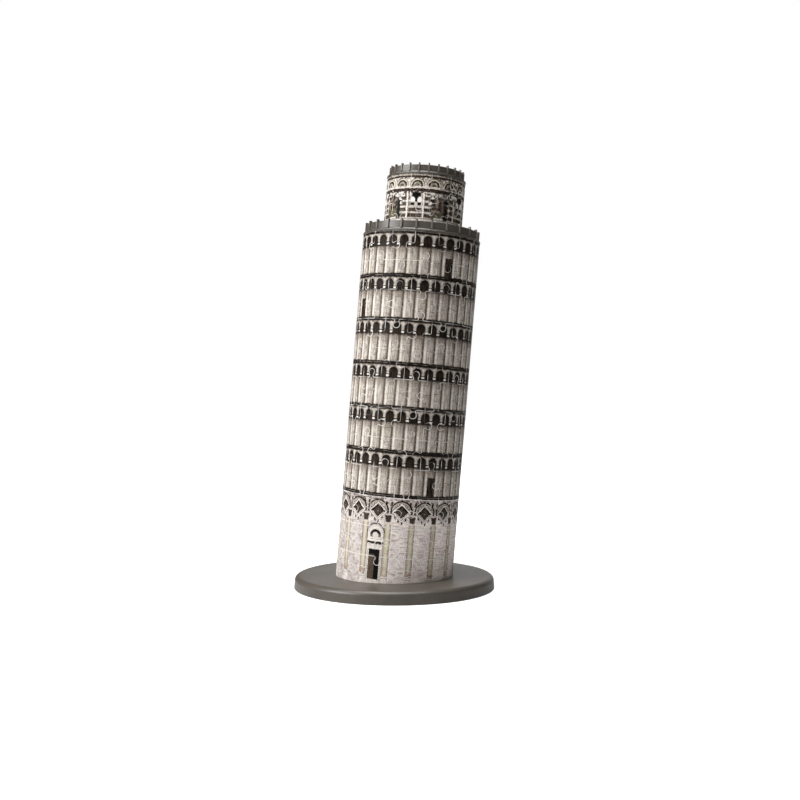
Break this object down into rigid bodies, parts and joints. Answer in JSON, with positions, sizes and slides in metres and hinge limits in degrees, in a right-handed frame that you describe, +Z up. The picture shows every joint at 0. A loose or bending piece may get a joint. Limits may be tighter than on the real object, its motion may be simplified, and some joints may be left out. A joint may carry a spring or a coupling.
{
  "type": "miniature leaning tower",
  "caption": "Table-top model of a round leaning arcaded tower, put together from curved interlocking pieces on a round base, with a gallery parapet and a belfry.",
  "frame": {"origin": "middle of the base's underside", "axes": "+Z up; the tower leans towards +X; the front with the door faces -Y"},
  "size_m": [0.144, 0.144, 0.302],
  "materials": {
    "moulded_grey": "satin injection-moulded plastic with a faint fine texture",
    "printed_shaft": "satin plastic piece with a printed stone arcade",
    "printed_belfry": "satin plastic piece with printed striped stonework"
  },
  "bodies": {
    "base": {"base_plate": "moulded_grey"},
    "shaft": {"shaft_ring_01_end_knobs": "printed_shaft", "shaft_ring_01_side_knobs": "printed_shaft", "shaft_ring_02_end_knobs": "printed_shaft", "shaft_ring_02_side_knobs": "printed_shaft", "shaft_ring_03_end_knobs": "printed_shaft", "shaft_ring_03_side_knobs": "printed_shaft", "shaft_ring_04_end_knobs": "printed_shaft", "shaft_ring_04_side_knobs": "printed_shaft", "shaft_ring_05_end_knobs": "printed_shaft", "shaft_ring_05_side_knobs": "printed_shaft", "shaft_ring_06_end_knobs": "printed_shaft", "shaft_ring_06_side_knobs": "printed_shaft", "shaft_ring_07_end_knobs": "printed_shaft", "shaft_ring_07_side_knobs": "printed_shaft", "shaft_ring_08_end_knobs": "printed_shaft", "shaft_ring_08_side_knobs": "printed_shaft", "shaft_ring_09_end_knobs": "printed_shaft", "shaft_ring_09_side_knobs": "printed_shaft", "shaft_ring_10_end_knobs": "printed_shaft", "shaft_ring_10_side_knobs": "printed_shaft", "shaft_ring_11_end_knobs": "printed_shaft", "shaft_ring_11_side_knobs": "printed_shaft", "shaft_ring_12_end_knobs": "printed_shaft", "shaft_ring_12_side_knobs": "printed_shaft"},
    "belfry": {"gallery_deck": "moulded_grey", "belfry_ring_1_end_knobs": "printed_belfry", "belfry_ring_1_side_knobs": "printed_belfry", "belfry_ring_2_end_knobs": "printed_belfry", "belfry_ring_2_side_knobs": "printed_belfry"},
    "cap": {"belfry_cap": "moulded_grey"}
  },
  "joints": [
    {"name": "tower_lift", "type": "slide", "parent": "base", "child": "shaft", "axis": [0.0819, 0, 0.9966], "range_m": [0, 0.013]},
    {"name": "gallery_lift", "type": "slide", "parent": "shaft", "child": "belfry", "axis": [0.0819, 0, 0.9966], "range_m": [0, 0.008]},
    {"name": "cap_lift", "type": "slide", "parent": "belfry", "child": "cap", "axis": [0.0819, 0, 0.9966], "range_m": [0, 0.008]}
  ]
}
